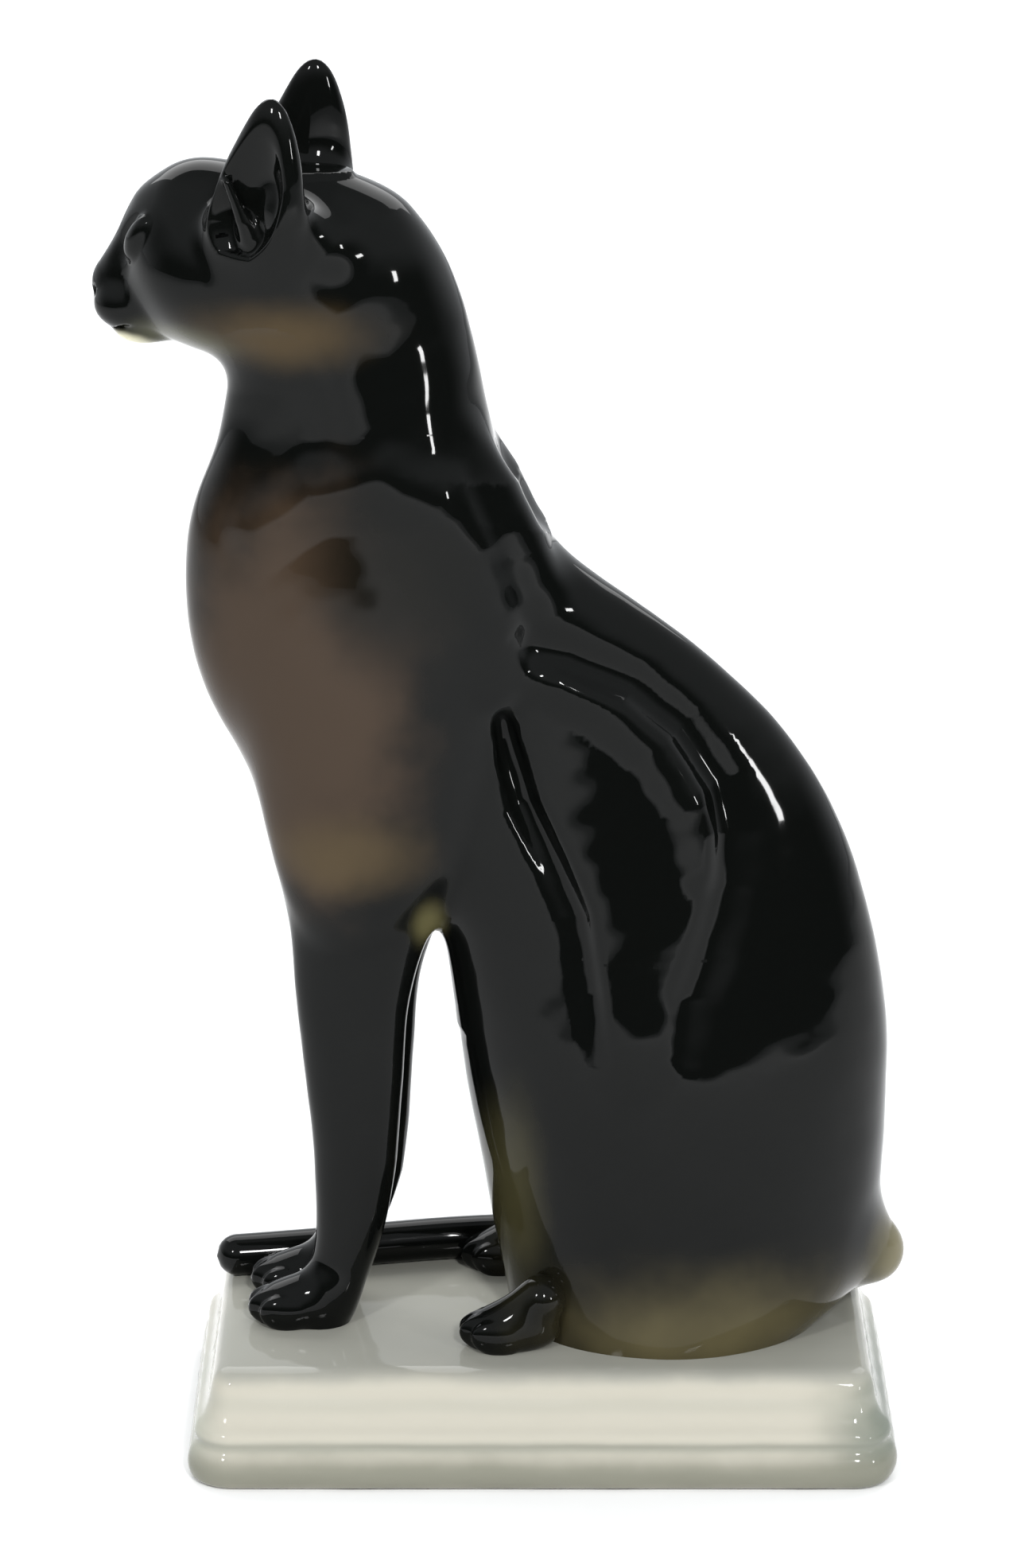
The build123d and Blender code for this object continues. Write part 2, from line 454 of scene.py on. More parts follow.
def close_holes(mesh: bmesh.types.BMesh) -> None:
    """Closes every open rim with a fan of faces round its middle.

    Args:
        mesh: The mesh to close.
    """
    waiting = {e for e in mesh.edges if e.is_boundary}
    rims = []
    while waiting:
        rim = []
        loop = waiting.pop().link_loops[0]
        while True:
            rim.append(loop)
            # Round the rim's next corner, face by face, to its next open edge.
            loop = loop.link_loop_next
            while not loop.edge.is_boundary:
                loop = loop.link_loop_radial_next.link_loop_next
            if loop.edge not in waiting:
                break
            waiting.remove(loop.edge)
        rims.append(rim)
    for rim in rims:
        middle = mesh.verts.new(sum((loop.vert.co for loop in rim), Vector()) / len(rim))
        for loop in rim:
            mesh.faces.new((loop.link_loop_next.vert, loop.vert, middle))


def make_piece(
    name: str,
    skin: Skin,
    form: Field,
    cuts: Sequence[Cut],
    keep: Callable[[np.ndarray], np.ndarray],
) -> bpy.types.Object:
    """Turns a stretch of skin into one closed casting with smooth shading.

    Args:
        name: The piece's name.
        skin: The surface to take it from.
        form: The field that the surface belongs to, which gives its normals.
        cuts: Planes to split the skin at.
        keep: Says for each face's middle, in millimetres, whether it belongs to the piece.

    Returns:
        The new object, whose place is in its mesh.
    """
    mesh = bpy.data.meshes.new(name)
    mesh.from_pydata((skin.points * MM).tolist(), [], skin.quads.tolist())
    work = bmesh.new()
    work.from_mesh(mesh)
    for cut in cuts:
        bmesh.ops.bisect_plane(
            work,
            geom=work.verts[:] + work.edges[:] + work.faces[:],
            dist=1e-7,
            plane_co=Vector(cut.point) * MM,
            plane_no=Vector(cut.normal),
        )
    middles = np.array([f.calc_center_median() for f in work.faces]) / MM
    gone = [f for f, stays in zip(work.faces, keep(middles)) if not stays]
    bmesh.ops.delete(work, geom=gone, context="FACES")
    drop_crumbs(work)
    outer = len(work.faces)
    close_holes(work)
    work.faces.index_update()
    for face in work.faces:
        face.smooth = face.index < outer
    work.to_mesh(mesh)
    work.free()
    mesh.update()
    corners = np.empty(len(mesh.loops), np.int64)
    mesh.loops.foreach_get("vertex_index", corners)
    places = np.empty(len(mesh.vertices) * 3)
    mesh.vertices.foreach_get("co", places)
    normals = gradient(form, places.reshape(-1, 3) / MM)
    normals /= np.maximum(np.linalg.norm(normals, axis=1, keepdims=True), 1e-9)
    loop_normals = normals[corners]
    for polygon in mesh.polygons:
        if not polygon.use_smooth:
            first = polygon.loop_start
            loop_normals[first : first + polygon.loop_total] = polygon.normal
    for polygon in mesh.polygons:
        polygon.use_smooth = True
    mesh.normals_split_custom_set(loop_normals.tolist())
    return add_object(name, mesh)


# ---------------------------------------------------------------- the cat
@dataclass
class CatSculpt:
    """The cat's whole form, symmetrical but for the turn of the head.

    Heights are above the plinth's deck and Y is from the cat's middle.
    """

    head_turn: float = 12.5
    pivot_x: float = -30.0
    pivot_height: float = 160.0
    head_roll: float = 2.5
    hind_sections: tuple[tuple[float, ...], ...] = (
        (-3, -4.0, 43.0, 20.3),
        (0, -4.8, 45.5, 20.8),
        (4, -5.6, 49.7, 21.2),
        (9, -6.6, 53.0, 21.4),
        (16, -7.9, 54.3, 21.6),
        (26, -9.6, 54.9, 21.7),
        (34, -11.0, 55.1, 21.6),
        (42, -12.4, 55.2, 21.3),
        (48, -13.2, 55.1, 20.6),
        (54, -13.8, 54.6, 19.4),
        (60, -14.0, 53.7, 18.0),
        (66, -13.8, 52.4, 16.6),
        (72, -13.4, 50.8, 15.2),
        (78, -12.8, 49.0, 13.9),
        (84, -12.4, 46.6, 12.7),
        (90, -12.2, 43.6, 11.5),
        (96, -12.6, 39.7, 10.4),
        (102, -14.0, 35.0, 9.5),
        (108, -17.0, 28.9, 8.9),
        (114, -21.0, 22.0, 8.5),
        (122, -27.0, 11.0, 8.6),
        (130, -34.0, 0.6, 9.2),
        (138, -36.0, -5.0, 9.8),
    )
    belly_sections: tuple[tuple[float, ...], ...] = (
        (53, -11.0, 20.0, 7.0),
        (60, -13.2, 25.0, 9.2),
        (65, -15.6, 30.0, 10.4),
        (70, -20.4, 30.0, 11.0),
        (76, -27.0, 30.0, 11.2),
        (82, -33.0, 28.0, 11.2),
        (92, -36.0, 24.0, 10.6),
        (102, -38.0, 20.0, 9.8),
        (112, -38.0, 14.0, 9.2),
        (122, -38.0, 6.0, 8.6),
        (130, -38.0, 0.0, 8.2),
    )
    nape_sections: tuple[tuple[float, ...], ...] = (
        (108, -30.0, -13.0, 5.0),
        (116, -31.0, -10.0, 8.0),
        (125, -32.5, -7.4, 11.6),
        (134, -34.0, -5.8, 14.4),
        (140, -35.0, -7.0, 15.0),
        (146, -36.0, -8.4, 14.5),
        (152, -37.0, -9.4, 13.6),
        (158, -38.0, -10.2, 12.3),
        (164, -39.0, -11.4, 11.1),
        (170, -40.0, -13.2, 9.9),
        (176, -41.0, -16.4, 8.5),
        (181, -42.0, -20.4, 6.9),
        (185, -42.0, -25.2, 4.8),
        (187, -42.0, -30.0, 2.6),
    )
    chest_sections: tuple[tuple[float, ...], ...] = (
        (65, -36.0, -23.0, 5.0),
        (70, -38.0, -18.0, 8.6),
        (76, -39.8, -13.0, 11.6),
        (82, -41.6, -9.4, 13.2),
        (92, -45.4, -7.6, 14.4),
        (102, -51.0, -6.6, 14.8),
        (112, -54.5, -6.0, 14.8),
        (122, -55.5, -6.0, 14.4),
        (130, -55.2, -6.6, 13.8),
        (138, -53.2, -7.6, 12.8),
        (146, -50.2, -8.6, 12.0),
        (154, -48.6, -10.8, 11.5),
        (162, -47.0, -14.0, 11.4),
        (170, -45.0, -20.0, 10.6),
        (178, -42.0, -26.0, 8.0),
    )
    thigh_sections: tuple[tuple[float, ...], ...] = (
        (34, 12.0, 17.0, 1.2, 15.6),
        (40, 10.6, 18.6, 2.8, 16.2),
        (46, 9.0, 20.6, 4.2, 16.4),
        (52, 8.0, 22.0, 4.8, 16.0),
        (60, 6.6, 23.4, 5.0, 14.4),
        (68, 5.0, 26.0, 5.0, 12.8),
        (76, 2.6, 28.0, 5.0, 11.2),
        (84, -0.4, 28.6, 5.0, 9.5),
        (92, -3.0, 26.6, 5.0, 7.8),
        (100, -5.6, 22.0, 4.8, 6.4),
        (107, -7.6, 14.0, 4.4, 5.6),
        (113, -8.4, 6.4, 3.6, 5.0),
        (118, -7.6, 0.0, 2.2, 4.2),
    )
    behind_thigh: tuple[tuple[float, float], ...] = (
        (-5.0, 117.0),
        (4.0, 114.0),
        (14.6, 109.5),
        (22.5, 103.0),
        (28.4, 94.0),
        (30.3, 86.0),
        (29.6, 78.0),
        (27.0, 69.0),
        (24.0, 61.0),
        (23.0, 53.0),
    )
    before_thigh: tuple[tuple[float, float], ...] = (
        (-8.6, 111.0),
        (-6.0, 100.0),
        (-3.0, 90.0),
        (1.2, 81.0),
        (4.6, 73.0),
        (6.6, 61.0),
        (7.8, 51.0),
    )
    thigh_crest: tuple[tuple[float, float], ...] = (
        (-3.0, 110.5),
        (3.0, 109.5),
        (10.0, 105.6),
        (17.0, 98.6),
        (22.4, 89.6),
        (24.0, 80.0),
    )
    foreleg_sections: tuple[tuple[float, ...], ...] = (
        (-3, -40.0, -31.8, 4.2),
        (0, -39.6, -31.0, 4.3),
        (5, -38.4, -29.0, 4.3),
        (10, -37.2, -27.2, 4.2),
        (16, -36.4, -25.4, 4.2),
        (24, -36.4, -23.8, 4.3),
        (34, -37.0, -22.8, 4.5),
        (46, -38.2, -22.0, 4.7),
        (58, -39.2, -20.6, 5.1),
        (68, -39.8, -17.4, 6.0),
        (80, -40.0, -14.0, 7.4),
        (96, -41.0, -12.0, 8.0),
    )
    ear_sections: tuple[tuple[float, float, float], ...] = (
        (170.0, -40.0, 0.8),
        (174.6, -40.2, 3.2),
        (178.6, -40.5, 6.0),
        (183.0, -40.4, 7.4),
        (187.3, -39.9, 7.1),
        (191.8, -39.2, 6.0),
        (196.2, -38.5, 4.4),
        (199.7, -38.1, 2.7),
        (201.8, -37.9, 0.0),
    )
    bowl_sections: tuple[tuple[float, float, float], ...] = (
        (177.4, -43.6, 2.4),
        (180.6, -43.4, 5.4),
        (185.6, -42.0, 6.3),
        (191.0, -40.4, 4.9),
        (195.6, -39.2, 3.1),
        (198.6, -38.7, 1.6),
        (200.3, -38.5, 0.0),
    )

    def __post_init__(self) -> None:
        """Fits the lofts."""
        self.hind = Loft(self.hind_sections)
        self.belly = Loft(self.belly_sections)
        self.nape = Loft(self.nape_sections)
        self.chest = Loft(self.chest_sections)
        self.thigh = Loft(self.thigh_sections)
        self.foreleg = Loft(self.foreleg_sections)
        self.ear_leaf = Leaf(self.ear_sections, 1.85)
        self.ear_bowl = Leaf(self.bowl_sections, 1.5)

    def to_cat(self, p: np.ndarray) -> np.ndarray:
        """Points in the row frame, seen from the cat's middle at deck height."""
        return p - np.array([0.0, MIDDLE, DECK])

    def to_head(self, q: np.ndarray) -> np.ndarray:
        """The same points, as they would lie on a head that is neither turned nor tilted."""
        turn, roll = math.radians(self.head_turn), math.radians(self.head_roll)
        x = q[:, 0] - self.pivot_x
        lift = q[:, 2] - self.pivot_height
        y = q[:, 1] * math.cos(roll) + lift * math.sin(roll)
        z = lift * math.cos(roll) - q[:, 1] * math.sin(roll) + self.pivot_height
        return np.stack(
            [
                self.pivot_x + x * math.cos(turn) - y * math.sin(turn),
                x * math.sin(turn) + y * math.cos(turn),
                z,
            ],
            axis=1,
        )

    def wobble(self, q: np.ndarray) -> np.ndarray:
        """The low unevenness of a hand-finished cast, in millimetres."""
        x, y, z = q[:, 0], q[:, 1], q[:, 2]
        wide = np.sin(0.31 * x + 0.12 * z + 0.5) * np.sin(0.27 * z - 0.2 * y + 1.1)
        fine = np.sin(0.62 * x - 0.33 * z + 2.0) * np.sin(0.55 * z + 0.4 * y + 0.3)
        return 0.07 * wide + 0.018 * fine

    def body(self, q: np.ndarray) -> np.ndarray:
        """Distance to everything below the head.

        Args:
            q: Points from the cat's middle at deck height.

        Returns:
            The distances.
        """
        one_side = with_y(q, two_sided(q[:, 1], 1.2))
        form = smooth_union(self.hind(q), self.belly(q), 5.0)
        form = smooth_union(form, self.chest(q), 5.0)
        form = smooth_union(form, self.nape(q), 4.0)
        # The thigh is raised over the flank, with a fold before it and a valley behind.
        form = smooth_union(form, self.thigh(one_side), 2.2)
        crest = self.along_flank(one_side, self.thigh_crest, 4.2, -2.1, -1.6)
        form = smooth_union(form, crest, 3.0)
        valley = self.along_flank(one_side, self.behind_thigh, 2.8, 2.2, 1.6)
        form = smooth_cut(form, valley, 2.8)
        fold = self.along_flank(one_side, self.before_thigh, 2.0, 1.8, 1.6)
        form = smooth_cut(form, fold, 2.2)
        # Shoulder and upper arm with a soft rim over the top and down behind.
        shoulder = ellipsoid(one_side, (-26.0, 8.2, 106.0), (16.0, 8.2, 38.0), tilt=10.0)
        form = smooth_union(form, shoulder, 7.0)
        rim = self.shoulder_rim(one_side)
        form = smooth_union(form, rim, 5.0)
        blade = ellipsoid(one_side, (-6.4, 5.6, 134.5), (4.6, 3.8, 15.0), tilt=-26.0)
        form = smooth_union(form, blade, 4.0)
        cord = self.neck_cord(one_side)
        form = smooth_union(form, cord, 4.0)
        # The stump that the tail grows from.
        stump = rod(q, (44.0, 0.0, 16.0), (53.3, 0.4, 9.8), 9.0, 5.5)
        form = smooth_union(form, stump, 5.0)
        return smooth_union(form, self.forelegs(q), 4.0)

    def along_flank(
        self,
        q: np.ndarray,
        path: Sequence[tuple[float, float]],
        radius: float,
        off: float,
        fade: float,
    ) -> np.ndarray:
        """Distance to a rod that follows a path of X and height just off the flank.

        Args:
            q: Points on one side.
            path: X and height of the path's corners.
            radius: The rod's radius.
            off: How far its middle lies outside the flank.
            fade: How much further out both ends lie.

        Returns:
            The distances.
        """
        places = []
        for x, height in path:
            front = float(self.hind.front(np.array([height]))[0])
            back = float(self.hind.back(np.array([height]))[0])
            half_width = float(self.hind.half_width(np.array([height]))[0])
            share = (x - (front + back) / 2) / ((back - front) / 2)
            places.append([x, half_width * math.sqrt(1 - share * share) + off, height])
        for end in (places[0], places[-1]):
            end[1] += fade
        return rod_chain(q, places, [radius] * len(places))

    def shoulder_rim(self, q: np.ndarray) -> np.ndarray:
        """Distance to the rim that runs over the shoulder and down behind the upper arm."""
        places = (
            (-43.0, 8.6, 134.0),
            (-34.0, 10.6, 140.5),
            (-25.0, 11.2, 143.0),
            (-17.0, 10.8, 139.0),
            (-11.6, 10.2, 131.0),
            (-8.2, 9.4, 121.0),
            (-7.6, 8.4, 110.0),
        )
        return rod_chain(q, places, [2.6] + [3.4] * (len(places) - 1))

    def neck_cord(self, q: np.ndarray) -> np.ndarray:
        """Distance to the muscle that runs from behind the cheek down to the shoulder."""
        places = (
            (-38.5, 9.6, 174.0),
            (-32.5, 10.0, 167.5),
            (-29.0, 10.0, 159.0),
            (-26.8, 10.3, 150.5),
            (-24.6, 10.7, 143.0),
        )
        return rod_chain(q, places, [2.6] * len(places))

    def forelegs(self, q: np.ndarray) -> np.ndarray:
        """Distance to both forelegs and their paws, from points at the cat's middle."""
        # The right leg stands a little further back than the left.
        tall = np.clip((q[:, 2] - 8.0) / 14.0, 0, 1) * np.clip((76.0 - q[:, 2]) / 12.0, 0, 1)
        back = 1.5 * np.clip(q[:, 1] / 4.0 + 0.5, 0, 1) * tall
        one_side = np.stack([q[:, 0] - back, two_sided(q[:, 1], 0.25), q[:, 2]], axis=1)
        leg = self.foreleg(one_side - np.array([0.0, 4.9, 0.0]))
        return smooth_union(leg, self.paw(one_side, -47.8, 5.6, 4.9, 6.6, 3.4), 2.4)

    def paw(
        self, q: np.ndarray, toe_x: float, y: float, half_width: float, height: float, rise: float
    ) -> np.ndarray:
        """Distance to one paw with four toes and an instep that rises behind them.

        Args:
            q: Points on one side, from the cat's middle at deck height.
            toe_x: Where the longest toes end.
            y: The paw's middle.
            half_width: Half of its width.
            height: Its height over the knuckles.
            rise: How much higher the instep's far end lies than the paw's own middle.

        Returns:
            The distances.
        """
        low = height * 0.42
        form = ellipsoid(q, (toe_x + 8.8, y, low), (7.6, half_width * 0.94, height * 0.56))
        instep = rod(q, (toe_x + 6.5, y, low), (toe_x + 13.5, y, low + rise), 3.3, 3.9)
        form = smooth_union(form, instep, 3.0)
        for place, reach in ((-0.74, 2.2), (-0.25, 0.3), (0.25, 0.3), (0.74, 2.2)):
            toe = ellipsoid(
                q,
                (toe_x + reach + 4.0, y + place * half_width, height * 0.38),
                (4.0, half_width * 0.31, height * 0.44),
                tilt=10.0,
            )
            form = smooth_union(form, toe, 0.8)
        return form

    def skull(self, q: np.ndarray) -> np.ndarray:
        """Distance to the head without its ears, in the unturned head's own place."""
        one_side = with_y(q, two_sided(q[:, 1], 0.8))
        form = ellipsoid(q, (-35.4, 0.0, 171.6), (18.6, 12.6, 15.8))
        brow = ellipsoid(q, (-51.6, 0.0, 174.8), (12.6, 10.6, 13.9), tilt=-10.0)
        form = smooth_union(form, brow, 7.0)
        cheek = ellipsoid(one_side, (-44.8, 6.4, 170.6), (12.6, 7.4, 8.0), tilt=4.0)
        form = smooth_union(form, cheek, 7.0)
        muzzle = rod(q, (-48.0, 0.0, 170.4), (-63.0, 0.0, 166.6), 11.6, 5.6)
        form = smooth_union(form, muzzle, 4.0)
        bridge = rod(q, (-59.0, 0.0, 179.6), (-66.4, 0.0, 169.8), 4.3, 3.3)
        form = smooth_union(form, bridge, 3.0)
        pad = ellipsoid(one_side, (-63.4, 2.6, 165.4), (5.7, 4.0, 3.4))
        form = smooth_union(form, pad, 2.5)
        chin = ellipsoid(q, (-61.6, 0.0, 161.8), (5.0, 4.6, 2.5), tilt=-6.0)
        form = smooth_union(form, chin, 2.0)
        nose = ellipsoid(q, (-67.6, 0.0, 168.4), (2.3, 2.6, 2.2))
        form = smooth_union(form, nose, 1.6)
        return self.face_cuts(form, one_side)

    def face_cuts(self, form: np.ndarray, one_side: np.ndarray) -> np.ndarray:
        """Adds the eyes, nostrils and mouth.

        Args:
            form: Distance to the head so far.
            one_side: The points, folded on to one side.

        Returns:
            Distance to the head with its face.
        """
        socket = ellipsoid(one_side, (-64.6, 7.0, 177.6), (3.0, 2.7, 6.0), tilt=28.0, splay=12.0)
        form = smooth_cut(form, socket, 1.8)
        ball = ellipsoid(one_side, (-60.6, 6.2, 177.4), (2.2, 2.2, 4.3), tilt=28.0, splay=12.0)
        form = smooth_union(form, ball, 0.7)
        nostril = ellipsoid(one_side, (-68.6, 2.4, 167.4), (1.5, 0.9, 0.8), tilt=20.0)
        form = smooth_cut(form, nostril, 0.6)
        lips = rod(one_side, (-68.8, 0.6, 163.2), (-61.6, 7.6, 162.6), 0.5, 0.4)
        form = smooth_cut(form, lips, 0.8)
        cleft = rod(one_side, (-70.0, 0.8, 166.2), (-69.4, 0.8, 163.2), 0.3, 0.3)
        return smooth_cut(form, cleft, 0.8)

    def ear(self, q: np.ndarray) -> np.ndarray:
        """Distance to both ears, in the unturned head's own place."""
        lean = 13.6 - 0.05 * (q[:, 2] - 184.0) - 0.2 * np.maximum(183.0 - q[:, 2], 0.0)
        side = np.abs(q[:, 1]) - lean - 0.14 * (q[:, 0] + 39.0)
        leaf = with_y(q, side)
        outer = self.ear_leaf(leaf)
        hollow = self.ear_bowl(leaf - np.array([0.0, 3.3, 0.0]))
        form = smooth_cut(outer, hollow, 1.0)
        fold = rod(leaf, (-44.6, 1.6, 189.0), (-41.2, 0.6, 180.5), 0.6, 1.3)
        form = smooth_union(form, fold, 1.2)
        root = with_y(q, np.abs(q[:, 1]))
        flare = rod(root, (-37.0, 12.6, 185.0), (-31.0, 9.4, 179.0), 2.0, 2.4)
        return smooth_union(form, flare, 4.0)

    def no_ears(self, p: np.ndarray) -> np.ndarray:
        """Distance to the whole cat but for its ears.

        Args:
            p: Points in the row frame, in millimetres.

        Returns:
            The distances.
        """
        q = self.to_cat(p)
        form = smooth_union(self.skull(self.to_head(q)), self.body(q), 5.0)
        return form + self.wobble(q)

    def whole(self, p: np.ndarray) -> np.ndarray:
        """Distance to the whole cat, ears and all.

        Args:
            p: Points in the row frame, in millimetres.

        Returns:
            The distances.
        """
        ears = self.ear(self.to_head(self.to_cat(p)))
        return smooth_union(self.no_ears(p), ears, 5.6)


@dataclass
class CatPieces:
    """Cuts the sculpt into its castings and meshes each one."""

    sculpt: CatSculpt = field(default_factory=CatSculpt)
    body_step: float = 0.85
    head_step: float = 0.5
    leg_step: float = 0.5
    leg_seam: float = 66.0
    leg_back: float = -17.0

    def steps(self) -> tuple[float, float, float]:
        """Grid spacings for the body, the head and the legs."""
        factor = 1.0
        return self.body_step * factor, self.head_step * factor, self.leg_step * factor

    def torso(self) -> bpy.types.Object:
        """The trunk, closed at the neck, at the tops of the forelegs and on the deck."""
        step = self.steps()[0]
        form = self.sculpt.no_ears
        low = (-59.0, MIDDLE - 26.0, DECK - 2.0)
        high = (62.0, MIDDLE + 26.0, NECK + 2.0)
        skin = take_skin(form, low, high, step)
        seam = DECK + self.leg_seam

        def keep(middle: np.ndarray) -> np.ndarray:
            """True for faces of the trunk alone."""
            inside = (middle[:, 2] > DECK) & (middle[:, 2] < NECK)
            leg = (middle[:, 2] < seam) & (middle[:, 0] < self.leg_back)
            return inside & ~leg

        cuts = [level(z) for z in (DECK, seam, NECK)]
        return make_piece("torso_skin", skin, form, cuts, keep)

    def head_and_ears(self) -> list[tuple[bpy.types.Object, str]]:
        """The head and the two ears, which share one unbroken surface."""
        step = self.steps()[1]
        form = self.sculpt.whole
        low = (-73.0, MIDDLE - 20.0, NECK - 1.5)
        high = (-4.0, MIDDLE + 26.0, DECK + 203.5)
        skin = take_skin(form, low, high, step)

        def side_of(middle: np.ndarray) -> np.ndarray:
            """-1 or 1 on a left or right ear, and 0 on the head."""
            h = self.sculpt.to_head(self.sculpt.to_cat(middle))
            on_ear = self.sculpt.ear(h) < self.sculpt.skull(h) - 1.0
            return np.where(on_ear & (h[:, 2] > 172.0), np.sign(h[:, 1]), 0)

        neck = [level(NECK)]
        pieces = []
        for name, node, number in (
            ("head_skin", "head", 0),
            ("left_ear_skin", "left_ear", Side.LEFT.value),
            ("right_ear_skin", "right_ear", Side.RIGHT.value),
        ):

            def keep(middle: np.ndarray, wanted: int = number) -> np.ndarray:
                """True for faces of this piece above the neck."""
                return (side_of(middle) == wanted) & (middle[:, 2] > NECK)

            pieces.append((make_piece(name, skin, form, neck, keep), node))
        return pieces

    def forelegs(self) -> list[tuple[bpy.types.Object, str]]:
        """The two forelegs with their paws, parted at the cat's middle."""
        step = self.steps()[2]
        form = self.sculpt.no_ears
        seam = DECK + self.leg_seam
        low = (-52.0, MIDDLE - 12.0, DECK - 1.5)
        high = (self.leg_back + 0.2, MIDDLE + 12.0, seam + 1.5)
        skin = take_skin(form, low, high, step)
        cuts = [level(DECK), level(seam), Cut((0, MIDDLE, 0), (0, 1, 0))]
        pieces = []
        for side in Side:

            def keep(middle: np.ndarray, sign: int = side.value) -> np.ndarray:
                """True for faces of the leg on this side."""
                tall = (middle[:, 2] > DECK) & (middle[:, 2] < seam)
                return tall & ((middle[:, 1] - MIDDLE) * sign > 0)

            node = f"{side.name.lower()}_foreleg"
            pieces.append((make_piece(f"{node}_skin", skin, form, cuts, keep), node))
        return pieces

    def hind_paws(self) -> list[tuple[bpy.types.Object, str]]:
        """The two hind paws, whose heels run in under the haunches."""
        step = self.steps()[2]
        pieces = []
        for side in Side:
            node = f"{side.name.lower()}_hind_paw"
            box_low, box_high = node_box(node)
            paw_y = (box_low.y + box_high.y) / 2 - MIDDLE

            def form(p: np.ndarray, y: float = paw_y, toe: float = box_low.x) -> np.ndarray:
                """Distance to this hind paw."""
                return self.sculpt.paw(self.sculpt.to_cat(p), toe, y, 4.5, 6.4, 5.4)

            low = (box_low.x - 2, box_low.y - 2, DECK - 1.5)
            high = (box_low.x + 22, box_high.y + 2, box_high.z + 8)
            skin = take_skin(form, low, high, step * 0.8)
            cuts = [level(DECK)]

            def keep(middle: np.ndarray) -> np.ndarray:
                """True above the deck."""
                return middle[:, 2] > DECK

            pieces.append((make_piece(f"{node}_skin", skin, form, cuts, keep), node))
        return pieces


# ---------------------------------------------------------------- node trees
class NodeMaker:
    """A small helper that adds and links nodes of any tree."""

    def __init__(self, tree: bpy.types.NodeTree) -> None:
        """Keeps the tree."""
        self.tree = tree

    def add(self, kind: str, **settings: object) -> bpy.types.Node:
        """Adds a node and gives it its settings."""
        node = self.tree.nodes.new(kind)
        for key, value in settings.items():
            setattr(node, key, value)
        return node

    def link(self, source: bpy.types.NodeSocket, target: bpy.types.NodeSocket) -> None:
        """Links two sockets."""
        self.tree.links.new(source, target)

    def math(self, operation: str, a: object, b: object = 0.0, clamp: bool = False) -> object:
        """Adds a sum.

        Args:
            operation: Blender's name for the operation.
            a: A number, or the socket that gives it.
            b: The second number or socket.
            clamp: Whether the answer is kept between 0 and 1.

        Returns:
            The answer's socket.
        """
        node = self.add("ShaderNodeMath", operation=operation, use_clamp=clamp)
        for socket, value in zip(node.inputs, (a, b)):
            if isinstance(value, bpy.types.NodeSocket):
                self.link(value, socket)
            else:
                socket.default_value = value
        return node.outputs[0]


class NodeTree(NodeMaker):
    """A geometry tree with one named input for each size."""

    def __init__(self, name: str, sizes: dict[str, float]) -> None:
        """Makes a tree with a geometry input and output and one named input for each size.

        Args:
            name: The tree's name.
            sizes: The named inputs and their values.
        """
        super().__init__(bpy.data.node_groups.new(name, "GeometryNodeTree"))
        face = self.tree.interface
        face.new_socket("Geometry", in_out="INPUT", socket_type="NodeSocketGeometry")
        face.new_socket("Geometry", in_out="OUTPUT", socket_type="NodeSocketGeometry")
        self.identifiers = {}
        for size, value in sizes.items():
            socket = face.new_socket(size, in_out="INPUT", socket_type="NodeSocketFloat")
            socket.default_value = value
            self.identifiers[size] = socket.identifier
        self.start = self.add("NodeGroupInput")
        self.end = self.add("NodeGroupOutput")


def run_geometry_nodes(
    name: str, base: bpy.types.Object, nodes: NodeTree, sizes: dict[str, float]
) -> bpy.types.Object:
    """Runs a tree on an object and returns its result as a plain mesh object.

    Args:
        name: The new object's name.
        base: The object that the tree reads, which is removed.
        nodes: The tree.
        sizes: Values for its named inputs.

    Returns:
        The new object, with no modifier.
    """
    modifier = base.modifiers.new(nodes.tree.name, "NODES")
    modifier.node_group = nodes.tree
    for size, value in sizes.items():
        modifier[nodes.identifiers[size]] = value
    bpy.context.view_layer.update()
    seen = bpy.context.evaluated_depsgraph_get()
    mesh = bpy.data.meshes.new_from_object(base.evaluated_get(seen), depsgraph=seen)
    base.modifiers.remove(modifier)
    bpy.data.objects.remove(base)
    mesh.name = name
    return add_object(name, mesh)


